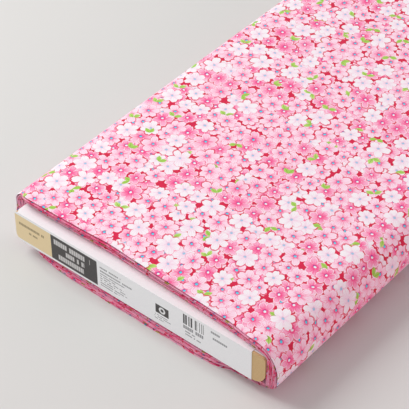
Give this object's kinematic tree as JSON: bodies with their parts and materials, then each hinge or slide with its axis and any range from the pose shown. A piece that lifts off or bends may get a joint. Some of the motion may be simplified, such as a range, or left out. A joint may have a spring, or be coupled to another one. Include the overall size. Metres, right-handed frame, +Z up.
{
  "type": "fabric bolt",
  "caption": "Printed quilting cotton folded once and wound on a flat hollow board, with a paper label folded over one end; the loose end lifts and the board slides out.",
  "frame": {"origin": "centre of the bolt's box, on the surface it lies on", "axes": "+X across the board, +Y along the board from the label end to the far end, +Z up out of the broad face"},
  "size_m": [0.222, 0.5846, 0.0414],
  "materials": {
    "kraft_board": "matt kraft liner",
    "white_facing": "smooth bleached paper",
    "label_paper": "smooth coated paper, printed",
    "printed_cotton": "plain weave, floral print"
  },
  "bodies": {
    "cloth_roll": {"cloth_wound_turns": "printed_cotton"},
    "loose_end": {"cloth_loose_end": "printed_cotton"},
    "board": {"board_shell": "kraft_board", "white_facing": "white_facing", "front_end_cap": "kraft_board", "rear_end_cap": "kraft_board", "left_edge_rail": "kraft_board", "right_edge_rail": "kraft_board", "centre_rib": "kraft_board", "end_label": "label_paper"}
  },
  "joints": [
    {"name": "loose_end_lift", "type": "hinge", "parent": "cloth_roll", "child": "loose_end", "pos_m": [0.062, 0, 0.04142], "axis": [0, -1, 0], "range_deg": [0, 150]},
    {"name": "board_slide", "type": "slide", "parent": "cloth_roll", "child": "board", "axis": [0, -1, 0], "range_m": [0, 0.4]}
  ]
}
